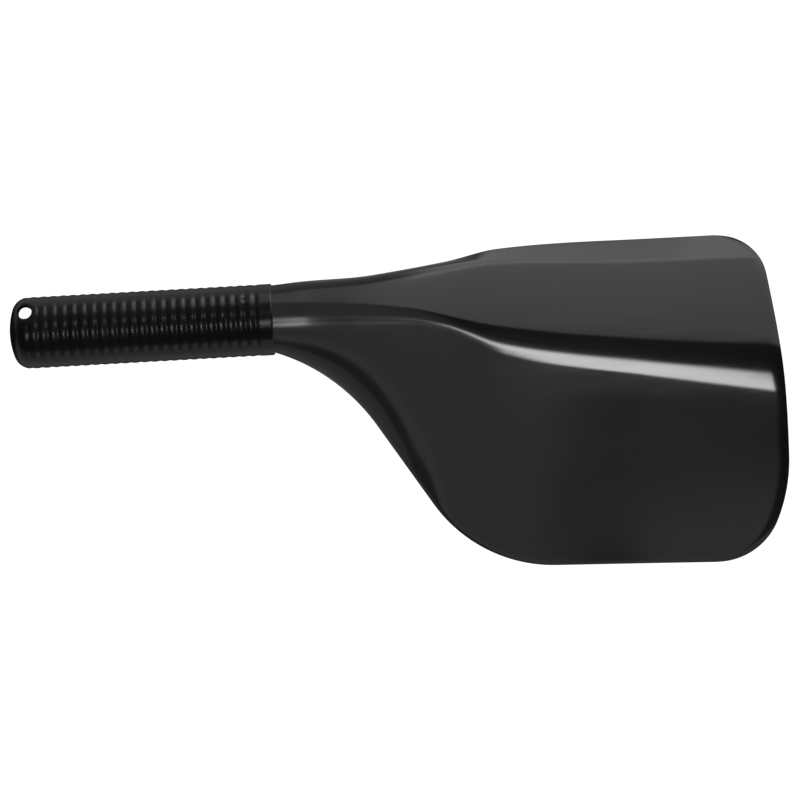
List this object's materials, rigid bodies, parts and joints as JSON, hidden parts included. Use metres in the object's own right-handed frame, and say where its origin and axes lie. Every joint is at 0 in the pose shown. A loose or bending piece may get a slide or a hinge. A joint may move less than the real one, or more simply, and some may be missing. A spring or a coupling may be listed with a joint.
{
  "type": "one-hand scoop paddle",
  "caption": "Short one-hand scoop paddle: a formed black plastic blade with an off-centre ridge and a ribbed, domed grip sleeve with a hanging hole.",
  "frame": {"origin": "on the shank axis, at the middle of the grip's smooth collar", "axes": "+X along the shank towards the blade tip, +Y towards the narrow side of the blade, +Z towards the blade's convex side"},
  "size_m": [0.3734, 0.1602, 0.0441],
  "materials": {
    "blade_plastic": "gloss, formed black ABS sheet",
    "core_plastic": "matte, black structural foam",
    "screw_steel": "satin stainless steel",
    "grip_vinyl": "semi-gloss soft black vinyl"
  },
  "bodies": {
    "root": {"blade": "blade_plastic", "handle_core": "core_plastic", "tang_screw_front": "screw_steel", "tang_screw_rear": "screw_steel", "grip": "grip_vinyl"}
  },
  "joints": []
}
